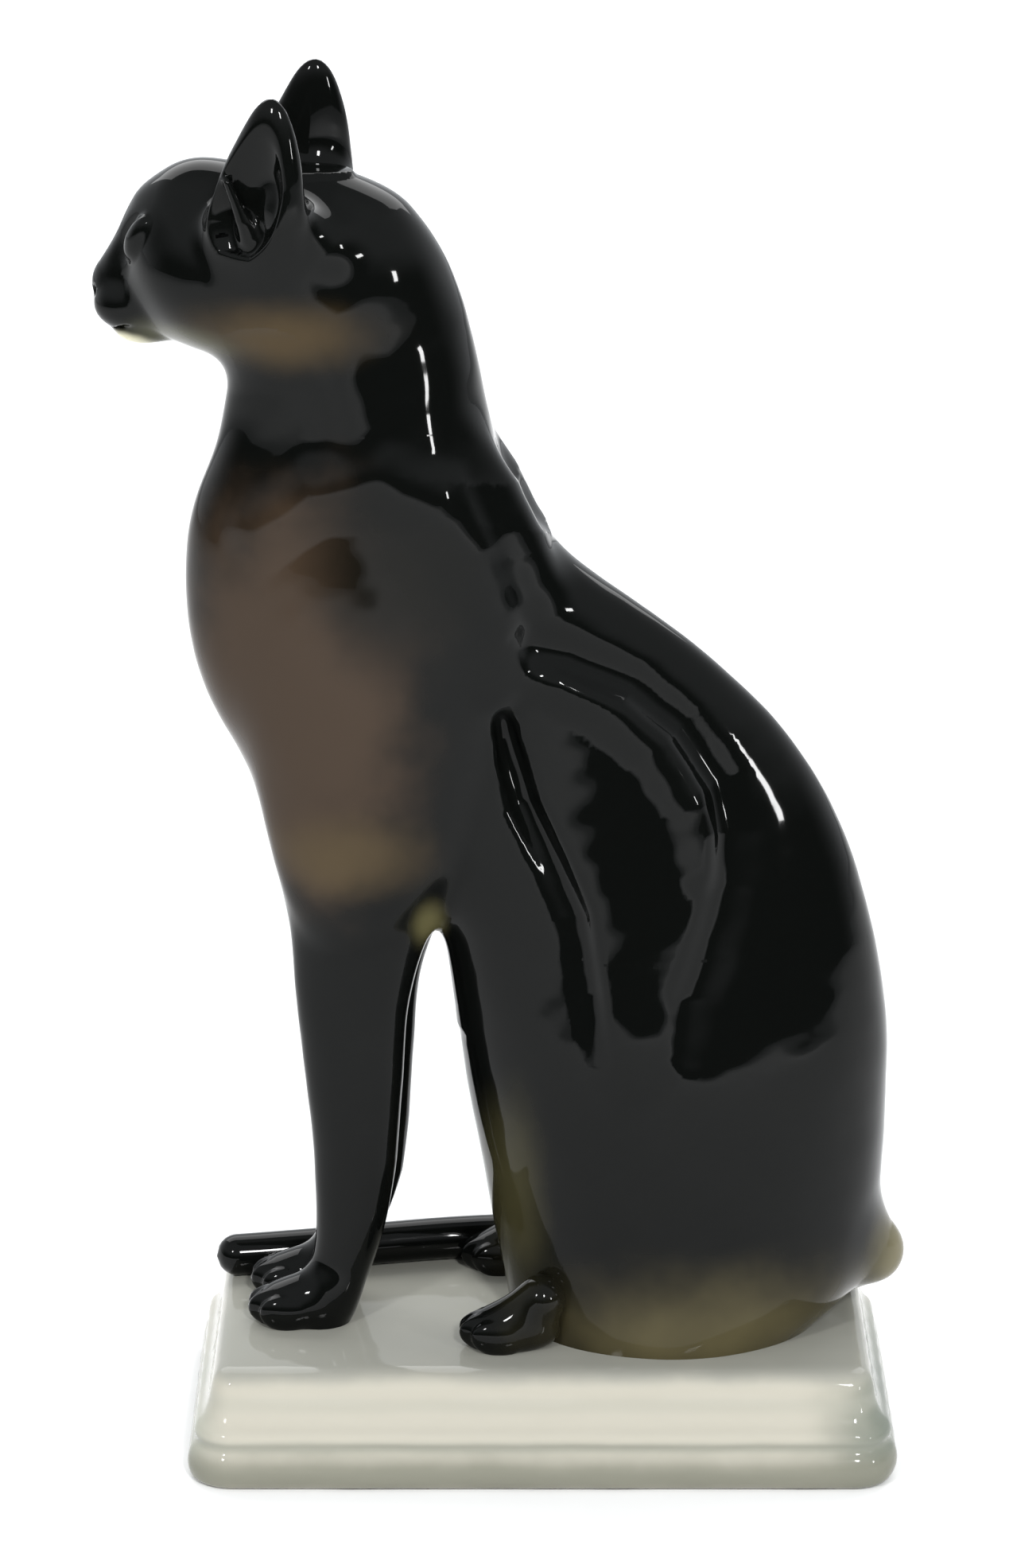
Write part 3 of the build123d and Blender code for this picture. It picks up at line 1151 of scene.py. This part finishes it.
@dataclass
class Tail:
    """The tail: a round rod that tapers a little and ends blunt, laid along the right side."""

    root_radius: float = 4.6
    tail_radius: float = 3.5
    tip_radius: float = 3.4
    rings: int = 260
    ring_points: int = 40

    def route(self) -> list[Point]:
        """The middle of the tail from inside the rump to its tip, in millimetres."""
        low, high = node_box("tail")
        lie = DECK + self.tail_radius - 0.3
        flank = high.y - self.tail_radius
        return [
            (49.0, MIDDLE + 0.6, DECK + 11.5),
            (53.4, MIDDLE + 5.0, DECK + 8.0),
            (52.6, MIDDLE + 12.5, lie + 1.4),
            (45.5, flank - 1.6, lie),
            (32.0, flank + 0.2, lie),
            (14.0, flank + 0.2, lie),
            (-5.0, flank + 0.6, lie + 0.3),
            (-22.0, flank - 2.2, lie + 0.3),
            (-38.0, flank - 5.4, lie),
            (low.x, flank - 8.0, lie),
        ]

    def build(self, material: bpy.types.Material) -> bpy.types.Object:
        """Sweeps the tail along its route with Geometry Nodes.

        Args:
            material: The glaze.

        Returns:
            The tail as a plain closed mesh.
        """
        line = bpy.data.curves.new("tail_line", "CURVE")
        line.dimensions = "3D"
        spline = line.splines.new("NURBS")
        points = self.route()
        spline.points.add(len(points) - 1)
        for point, place in zip(spline.points, points):
            point.co = (*(MM * c for c in place), 1.0)
        spline.order_u = 4
        spline.use_endpoint_u = True
        spline.resolution_u = 12
        base = add_object("tail_line", line)
        sizes = {
            "Root Radius": self.root_radius * MM,
            "Tail Radius": self.tail_radius * MM,
            "Tip Radius": self.tip_radius * MM,
        }
        return run_geometry_nodes("tail_skin", base, self.tree(sizes, material), sizes)

    def tree(self, sizes: dict[str, float], material: bpy.types.Material) -> NodeTree:
        """Builds the sweep: resampled line, radius by a curve of the length, round ends.

        Args:
            sizes: The named inputs.
            material: The glaze, set by the last node.

        Returns:
            The tree.
        """
        nodes = NodeTree("tail_sweep", sizes)
        resample = nodes.add("GeometryNodeResampleCurve")
        resample.inputs["Count"].default_value = self.rings
        nodes.link(nodes.start.outputs["Geometry"], resample.inputs["Curve"])
        along = nodes.add("GeometryNodeSplineParameter")
        taper = nodes.add("ShaderNodeMapRange", interpolation_type="SMOOTHSTEP")
        taper.inputs["From Max"].default_value = 0.14
        nodes.link(along.outputs["Factor"], taper.inputs["Value"])
        nodes.link(nodes.start.outputs["Root Radius"], taper.inputs["To Min"])
        nodes.link(nodes.start.outputs["Tail Radius"], taper.inputs["To Max"])
        thin = nodes.add("ShaderNodeMapRange")
        nodes.link(along.outputs["Factor"], thin.inputs["Value"])
        thin.inputs["From Min"].default_value = 0.5
        nodes.link(taper.outputs["Result"], thin.inputs["To Min"])
        nodes.link(nodes.start.outputs["Tip Radius"], thin.inputs["To Max"])
        # Within one radius of the tip, the radius follows a quarter circle.
        length = nodes.add("GeometryNodeSplineLength")
        left = nodes.math("SUBTRACT", length.outputs["Length"], along.outputs["Length"])
        share = nodes.math("DIVIDE", left, nodes.start.outputs["Tip Radius"], clamp=True)
        inverse = nodes.math("SUBTRACT", 1.0, share)
        # A little over 1, so that the last ring doesn't shrink to a point.
        rest = nodes.math("SUBTRACT", 1.001, nodes.math("MULTIPLY", inverse, inverse))
        radius = nodes.math("MULTIPLY", thin.outputs["Result"], nodes.math("SQRT", rest))
        set_radius = nodes.add("GeometryNodeSetCurveRadius")
        nodes.link(resample.outputs["Curve"], set_radius.inputs["Curve"])
        nodes.link(radius, set_radius.inputs["Radius"])
        profile = nodes.add("GeometryNodeCurvePrimitiveCircle")
        profile.inputs["Resolution"].default_value = self.ring_points
        profile.inputs["Radius"].default_value = 1.0
        sweep = nodes.add("GeometryNodeCurveToMesh")
        sweep.inputs["Fill Caps"].default_value = True
        if "Scale" in sweep.inputs:
            nodes.link(radius, sweep.inputs["Scale"])
        nodes.link(set_radius.outputs["Curve"], sweep.inputs["Curve"])
        nodes.link(profile.outputs["Curve"], sweep.inputs["Profile Curve"])
        smooth = nodes.add("GeometryNodeSetShadeSmooth")
        nodes.link(sweep.outputs["Mesh"], smooth.inputs["Geometry"])
        real = nodes.add("GeometryNodeRealizeInstances")
        nodes.link(smooth.outputs["Geometry"], real.inputs["Geometry"])
        paint = nodes.add("GeometryNodeSetMaterial")
        paint.inputs["Material"].default_value = material
        nodes.link(real.outputs["Geometry"], paint.inputs["Geometry"])
        nodes.link(paint.outputs["Geometry"], nodes.end.inputs["Geometry"])
        return nodes


@dataclass
class Plinth:
    """The moulded block: a profile carried round a rounded rectangle, closed above and below."""

    corner: float = 7.0
    side_share: float = 0.8
    wall: float = 4.0
    ceiling: float = 4.0
    samples: int = 64
    corner_points: int = 13
    side_parts: int = 26
    end_parts: int = 14
    outline: tuple[tuple[float, float], ...] = (
        (9.6, 18.0),
        (8.0, 17.93),
        (6.5, 17.5),
        (5.4, 16.5),
        (4.8, 15.0),
        (4.4, 13.2),
        (3.7, 11.4),
        (2.7, 10.0),
        (1.9, 9.3),
        (1.45, 8.5),
        (1.4, 7.7),
        (1.65, 7.0),
        (1.45, 6.3),
        (0.8, 5.5),
        (0.25, 4.4),
        (0.0, 3.1),
        (0.2, 1.7),
        (0.8, 0.6),
        (1.7, 0.1),
        (2.6, 0.0),
    )

    def profile(self) -> list[tuple[float, float]]:
        """Inset from the plinth's widest and height, from the deck's middle to the ceiling's."""
        run = [0.0]
        for (x0, z0), (x1, z1) in zip(self.outline, self.outline[1:]):
            run.append(run[-1] + math.hypot(x1 - x0, z1 - z0))
        inset = SmoothCurve(run, [x for x, _ in self.outline])
        height = SmoothCurve(run, [z for _, z in self.outline])
        along = np.linspace(0.0, run[-1], self.samples)
        points = [(13.0, DECK), (11.0, DECK)]
        points += [(float(x), float(z)) for x, z in zip(inset(along), height(along))]
        foot = self.wall + 1.6
        points += [(foot - 0.5, 0.0), (foot, 0.5), (foot + 3.0, DECK - self.ceiling - 0.6)]
        points += [(foot + 3.6, DECK - self.ceiling), (13.0, DECK - self.ceiling)]
        return points

    def ring(self, inset: float) -> list[tuple[float, float]]:
        """The plan of the block at one inset, as points round it in millimetres."""
        half_x = PLINTH_HIGH.x - inset * self.side_share
        half_y = PLINTH_HIGH.y - inset
        radius = max(self.corner - inset * 0.7, 1.2)
        points = []
        corners = ((1, 1, 0), (-1, 1, 90), (-1, -1, 180), (1, -1, 270))
        for sx, sy, first in corners:
            for i in range(self.corner_points):
                a = math.radians(first + 90 * i / (self.corner_points - 1))
                x = sx * (half_x - radius) + radius * math.cos(a)
                points.append((x, sy * (half_y - radius) + radius * math.sin(a)))
        full = []
        for n, (x, y) in enumerate(points):
            full.append((x, y))
            corner, place = divmod(n, self.corner_points)
            if place == self.corner_points - 1:
                x1, y1 = points[(n + 1) % len(points)]
                parts = self.end_parts if corner % 2 else self.side_parts
                for i in range(1, parts):
                    t = i / parts
                    full.append((x + (x1 - x) * t, y + (y1 - y) * t))
        return full

    def build(self) -> bpy.types.Object:
        """Carries the profile round the block, ring by ring."""
        work = bmesh.new()
        rings = []
        profile = self.profile()
        for number, (inset, height) in enumerate(profile):
            ring = []
            outside = 0.5 < height < DECK - 0.01 and number < len(profile) - 5
            for x, y in self.ring(inset):
                shift = 0.0
                if outside:
                    shift = 0.10 * math.sin(0.19 * x + 0.5 * height) + 0.07 * math.sin(0.43 * x + y)
                length = math.hypot(x * 0.4, y)
                x, y = x + shift * x * 0.4 / length, y + shift * y / length
                ring.append(work.verts.new((x * MM, y * MM, height * MM)))
            rings.append(ring)
        count = len(rings[0])
        for one, two in zip(rings, rings[1:]):
            for i in range(count):
                j = (i + 1) % count
                work.faces.new((one[i], two[i], two[j], one[j]))
        for ring in (rings[0], rings[-1]):
            middle = work.verts.new((0, 0, ring[0].co.z))
            for i in range(count):
                work.faces.new((ring[i], ring[(i + 1) % count], middle))
        bmesh.ops.recalc_face_normals(work, faces=work.faces)
        for face in work.faces:
            face.smooth = True
        for edge in work.edges:
            edge.smooth = edge.calc_face_angle(0.0) < 0.7
        mesh = bpy.data.meshes.new("plinth_skin")
        work.to_mesh(mesh)
        work.free()
        return add_object("plinth_skin", mesh)


# ---------------------------------------------------------------- glazes
Colour = tuple[float, float, float]


@dataclass(frozen=True)
class Spray:
    """One sprayed patch of colour, thick in its middle and thin at its soft edge: mostly underglaze,
    but some patches are painted shade or a painted reflection.
    """

    name: str
    colour: Colour
    middle: Point
    radii: Point
    softness: float
    strength: float = 1.0


@dataclass(frozen=True)
class GlazeLook:
    """What a glaze looks like: its ground colour, the patches over it and its surface."""

    name: str
    ground: Colour
    sprays: tuple[Spray, ...] = ()
    roughness: float = 0.05
    ior: float = 1.25
    ripple: float = 0.25


# The chin lies off the cat's middle, because the head is turned.
CHIN_Y = 10.5

CAT_GLAZE = GlazeLook(
    "cat_glaze",
    (0.0026, 0.0030, 0.0027),
    (
        Spray("chest", (0.042, 0.028, 0.018), (-38.0, MIDDLE, 126.0), (24.0, 40.0, 40.0), 0.5),
        # Painted reflection: this dark patch on the breast stands in for a dark thing in front of the
        # cat, mirrored in the glaze.
        Spray("breast_painted_reflection", (0.004, 0.004, 0.003), (-24.0, MIDDLE, 145.0), (15.0, 40.0, 18.0), 0.7, 0.95),
        Spray("low_chest", (0.064, 0.045, 0.022), (-30.0, MIDDLE, 101.0), (14.0, 40.0, 9.0), 0.9),
        Spray("gap_top", (0.10, 0.09, 0.04), (-18.0, MIDDLE, 87.0), (3.4, 30.0, 6.0), 0.9),
        Spray("throat", (0.055, 0.037, 0.016), (-40.0, MIDDLE, 183.0), (17.0, 30.0, 7.0), 0.9),
        Spray("jaw", (0.08, 0.08, 0.045), (-55.0, MIDDLE, 180.0), (10.0, 30.0, 4.0), 0.9, 0.7),
        Spray("chin", (0.72, 0.69, 0.50), (-65.0, CHIN_Y, 177.4), (7.0, 13.0, 3.0), 0.5),
        Spray("seat", (0.11, 0.093, 0.045), (27.0, MIDDLE, 18.0), (32.0, 60.0, 18.0), 0.95, 0.8),
        Spray("rump", (0.20, 0.18, 0.11), (58.0, MIDDLE, 27.0), (8.0, 16.0, 12.0), 0.9, 0.8),
        Spray("knee", (0.05, 0.045, 0.02), (-5.0, MIDDLE, 42.0), (7.0, 40.0, 22.0), 0.9, 0.8),
    ),
)

PLINTH_GLAZE = GlazeLook(
    "plinth_glaze",
    (0.45, 0.43, 0.365),
    (
        Spray("right_end", (0.11, 0.135, 0.11), (60.0, -16.0, 8.0), (17.0, 60.0, 26.0), 0.9, 0.9),
        Spray("left_end", (0.28, 0.31, 0.26), (-60.0, -20.0, 8.0), (9.0, 60.0, 26.0), 0.9, 0.7),
        Spray("groove", (0.24, 0.25, 0.21), (0.0, 0.0, 7.2), (400.0, 400.0, 1.3), 0.9, 0.6),
        Spray("cove", (0.36, 0.36, 0.31), (0.0, 0.0, 13.2), (400.0, 400.0, 1.6), 0.9, 0.3),
        Spray("foot", (0.19, 0.19, 0.15), (0.0, 0.0, 2.6), (400.0, 400.0, 4.0), 0.9, 0.9),
        # Painted shade: the deck's top is sprayed darker, standing in for the cat's shadow and the
        # dim light on it.
        Spray("deck", (0.29, 0.29, 0.255), (0.0, 0.0, 20.0), (400.0, 400.0, 4.0), 0.6, 1.0),
    ),
    roughness=0.07,
    ripple=0.35,
)


def spray_group() -> bpy.types.ShaderNodeTree:
    """A group that tells how thick one sprayed patch is at a place.

    Returns:
        The group, with the inputs Middle, Radii, Softness and Strength and the output Mask.
    """
    tree = bpy.data.node_groups.get("sprayed_patch")
    if tree:
        return tree
    tree = bpy.data.node_groups.new("sprayed_patch", "ShaderNodeTree")
    face = tree.interface
    face.new_socket("Middle", in_out="INPUT", socket_type="NodeSocketVector")
    face.new_socket("Radii", in_out="INPUT", socket_type="NodeSocketVector")
    face.new_socket("Softness", in_out="INPUT", socket_type="NodeSocketFloat")
    face.new_socket("Strength", in_out="INPUT", socket_type="NodeSocketFloat")
    face.new_socket("Mask", in_out="OUTPUT", socket_type="NodeSocketFloat")
    make = NodeMaker(tree)
    start, end = make.add("NodeGroupInput"), make.add("NodeGroupOutput")
    place = make.add("ShaderNodeTexCoord")
    drift = make.add("ShaderNodeTexNoise")
    drift.inputs["Scale"].default_value = 75.0
    drift.inputs["Detail"].default_value = 3.0
    make.link(place.outputs["Object"], drift.inputs["Vector"])
    away = make.add("ShaderNodeVectorMath", operation="SUBTRACT")
    make.link(place.outputs["Object"], away.inputs[0])
    make.link(start.outputs["Middle"], away.inputs[1])
    share = make.add("ShaderNodeVectorMath", operation="DIVIDE")
    make.link(away.outputs[0], share.inputs[0])
    make.link(start.outputs["Radii"], share.inputs[1])
    length = make.add("ShaderNodeVectorMath", operation="LENGTH")
    make.link(share.outputs[0], length.inputs[0])
    ragged = make.math("MULTIPLY", make.math("SUBTRACT", drift.outputs["Fac"], 0.5), 0.55)
    near = make.math("ADD", length.outputs["Value"], ragged)
    fade = make.add("ShaderNodeMapRange", interpolation_type="SMOOTHERSTEP")
    make.link(near, fade.inputs["Value"])
    make.link(make.math("SUBTRACT", 1.0, start.outputs["Softness"]), fade.inputs["From Min"])
    spread = make.math("MULTIPLY", start.outputs["Softness"], 0.3)
    make.link(make.math("ADD", 1.0, spread), fade.inputs["From Max"])
    fade.inputs["To Min"].default_value = 1.0
    fade.inputs["To Max"].default_value = 0.0
    mask = make.math("MULTIPLY", fade.outputs["Result"], start.outputs["Strength"], clamp=True)
    make.link(mask, end.inputs["Mask"])
    return tree


def make_glaze(look: GlazeLook) -> bpy.types.Material:
    """Builds a glaze's material.

    Args:
        look: What it looks like.

    Returns:
        The material.
    """
    material = bpy.data.materials.new(look.name)
    material.use_nodes = True
    make = NodeMaker(material.node_tree)
    shader = material.node_tree.nodes["Principled BSDF"]
    shader.inputs["IOR"].default_value = look.ior
    shader.inputs["Roughness"].default_value = look.roughness
    colour = make.add("ShaderNodeRGB")
    colour.outputs[0].default_value = (*look.ground, 1.0)
    socket = colour.outputs[0]
    for spray in look.sprays:
        patch = make.add("ShaderNodeGroup")
        patch.node_tree = spray_group()
        patch.label = spray.name
        patch.inputs["Middle"].default_value = [c * MM for c in spray.middle]
        patch.inputs["Radii"].default_value = [c * MM for c in spray.radii]
        patch.inputs["Softness"].default_value = spray.softness
        patch.inputs["Strength"].default_value = spray.strength
        mix = make.add("ShaderNodeMix", data_type="RGBA")
        make.link(patch.outputs["Mask"], mix.inputs["Factor"])
        make.link(socket, mix.inputs["A"])
        mix.inputs["B"].default_value = (*spray.colour, 1.0)
        socket = mix.outputs["Result"]
    make.link(socket, shader.inputs["Base Color"])
    place = make.add("ShaderNodeTexCoord")
    waves = make.add("ShaderNodeTexNoise")
    waves.inputs["Scale"].default_value = 110.0
    waves.inputs["Detail"].default_value = 1.5
    make.link(place.outputs["Object"], waves.inputs["Vector"])
    bump = make.add("ShaderNodeBump")
    bump.inputs["Strength"].default_value = look.ripple
    bump.inputs["Distance"].default_value = 0.0004
    make.link(waves.outputs["Fac"], bump.inputs["Height"])
    make.link(bump.outputs["Normal"], shader.inputs["Normal"])
    return material


# ---------------------------------------------------------------- studio
@dataclass
class Studio:
    """Pale floor, soft lights and the camera."""

    aim: Point = (-5.4, 0.0, 108.4)
    distance: float = 813.0
    elevation: float = 19.0
    lens: float = 119.0
    floor_size: float = 8000.0
    # Each is where a change of the room's brightness starts and ends, and the two strengths.
    room_in_front: tuple[float, ...] = (0.12, 0.5, 0.01, 0.75)
    room_behind: tuple[float, ...] = (0.2, 1.0, 1.2, 0.30)

    def build(self) -> None:
        """Makes the floor, the lights and the camera."""
        self.add_floor()
        self.add_lights()
        self.add_camera()

    def add_floor(self) -> None:
        """A plain pale floor."""
        half = self.floor_size / 2 * MM
        mesh = bpy.data.meshes.new("floor")
        corners = [(-half, -half, 0), (half, -half, 0), (half, half, 0), (-half, half, 0)]
        mesh.from_pydata(corners, [], [(0, 1, 2, 3)])
        floor = add_object("floor", mesh)
        paper = bpy.data.materials.new("floor_paper")
        paper.use_nodes = True
        shader = paper.node_tree.nodes["Principled BSDF"]
        shader.inputs["Base Color"].default_value = (0.92, 0.92, 0.92, 1)
        shader.inputs["Roughness"].default_value = 0.8
        shader.inputs["Specular IOR Level"].default_value = 0.1
        mesh.materials.append(paper)

    def add_light(self, name: str, place: Point, size: tuple[float, float], power: float) -> None:
        """Adds a rectangular soft light that faces the cat.

        Args:
            name: The light's name.
            place: Its middle, in millimetres.
            size: Its width and height, in millimetres.
            power: Its power in watts.
        """
        data = bpy.data.lights.new(name, "AREA")
        data.shape = "RECTANGLE"
        data.size, data.size_y = size[0] * MM, size[1] * MM
        data.energy = power
        light = add_object(name, data)
        light.location = Vector(place) * MM
        aim = Vector(self.aim) * MM - light.location
        light.rotation_euler = aim.to_track_quat("-Z", "Y").to_euler()

    def add_lights(self) -> None:
        """A broad soft light overhead and behind, three small windows and a dim room."""
        self.add_light("overhead", (0, 1050, 1250), (2400, 1100), 25)
        self.add_light("window", (420, -1700, 1300), (200, 340), 24)
        self.add_light("far_window", (-800, -1300, 1150), (150, 260), 11)
        self.add_light("side_window", (1250, -1150, 520), (110, 240), 6)
        self.add_room()
        bpy.context.scene.view_settings.view_transform = "Standard"

    def add_room(self) -> None:
        """A room that is bright behind the cat and black low down in front of it."""
        world = bpy.data.worlds.new("room")
        world.use_nodes = True
        make = NodeMaker(world.node_tree)
        background = world.node_tree.nodes["Background"]
        background.inputs["Color"].default_value = (0.94, 0.97, 1.0, 1)
        look = make.add("ShaderNodeTexCoord")
        split = make.add("ShaderNodeSeparateXYZ")
        make.link(look.outputs["Generated"], split.inputs[0])
        parts = []
        for near, far, low, high in (self.room_in_front, self.room_behind):
            climb = make.add("ShaderNodeMapRange", interpolation_type="SMOOTHSTEP")
            make.link(split.outputs["Z"], climb.inputs["Value"])
            climb.inputs["From Min"].default_value = near
            climb.inputs["From Max"].default_value = far
            climb.inputs["To Min"].default_value = low
            climb.inputs["To Max"].default_value = high
            parts.append(climb.outputs["Result"])
        side = make.add("ShaderNodeMapRange", interpolation_type="SMOOTHSTEP")
        make.link(split.outputs["Y"], side.inputs["Value"])
        side.inputs["From Min"].default_value = -0.3
        side.inputs["From Max"].default_value = 0.5
        mix = make.add("ShaderNodeMix", data_type="FLOAT")
        make.link(side.outputs["Result"], mix.inputs["Factor"])
        make.link(parts[0], mix.inputs["A"])
        make.link(parts[1], mix.inputs["B"])
        make.link(mix.outputs["Result"], background.inputs["Strength"])
        bpy.context.scene.world = world

    def add_camera(self) -> None:
        """The camera, level with the horizon and looking a little down."""
        data = bpy.data.cameras.new("camera")
        data.lens = self.lens
        data.sensor_width = 36.0
        data.clip_start, data.clip_end = 0.05, 50.0
        camera = add_object("camera", data)
        lift = math.radians(self.elevation)
        away = Vector((0, -math.cos(lift), math.sin(lift))) * self.distance
        camera.location = (Vector(self.aim) + away) * MM
        camera.rotation_euler = (math.pi / 2 - lift, 0, 0)
        bpy.context.scene.camera = camera


def dress(piece: bpy.types.Object, node: str, material: bpy.types.Material) -> None:
    """Gives a finished piece its glaze and ties it to the frame.

    Args:
        piece: The piece.
        node: The node that it stands for.
        material: Its glaze.
    """
    if not piece.data.materials:
        piece.data.materials.append(material)
    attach(piece, BODY)
    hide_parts(node)
    log.info("%s: %d faces stands for %s", piece.name, len(piece.data.polygons), node)


def main() -> None:
    """Builds the studio, the cat and the plinth, and reports each piece."""
    logging.basicConfig(level=logging.INFO, format="%(message)s")
    Studio().build()
    black = make_glaze(CAT_GLAZE)
    pale = make_glaze(PLINTH_GLAZE)
    cat = CatPieces()
    dress(cat.torso(), "torso", black)
    for piece, node in cat.head_and_ears():
        dress(piece, node, black)
    for piece, node in cat.forelegs() + cat.hind_paws():
        dress(piece, node, black)
    dress(Tail().build(black), "tail", black)
    dress(Plinth().build(), "plinth", pale)


if __name__ == "__main__":
    main()
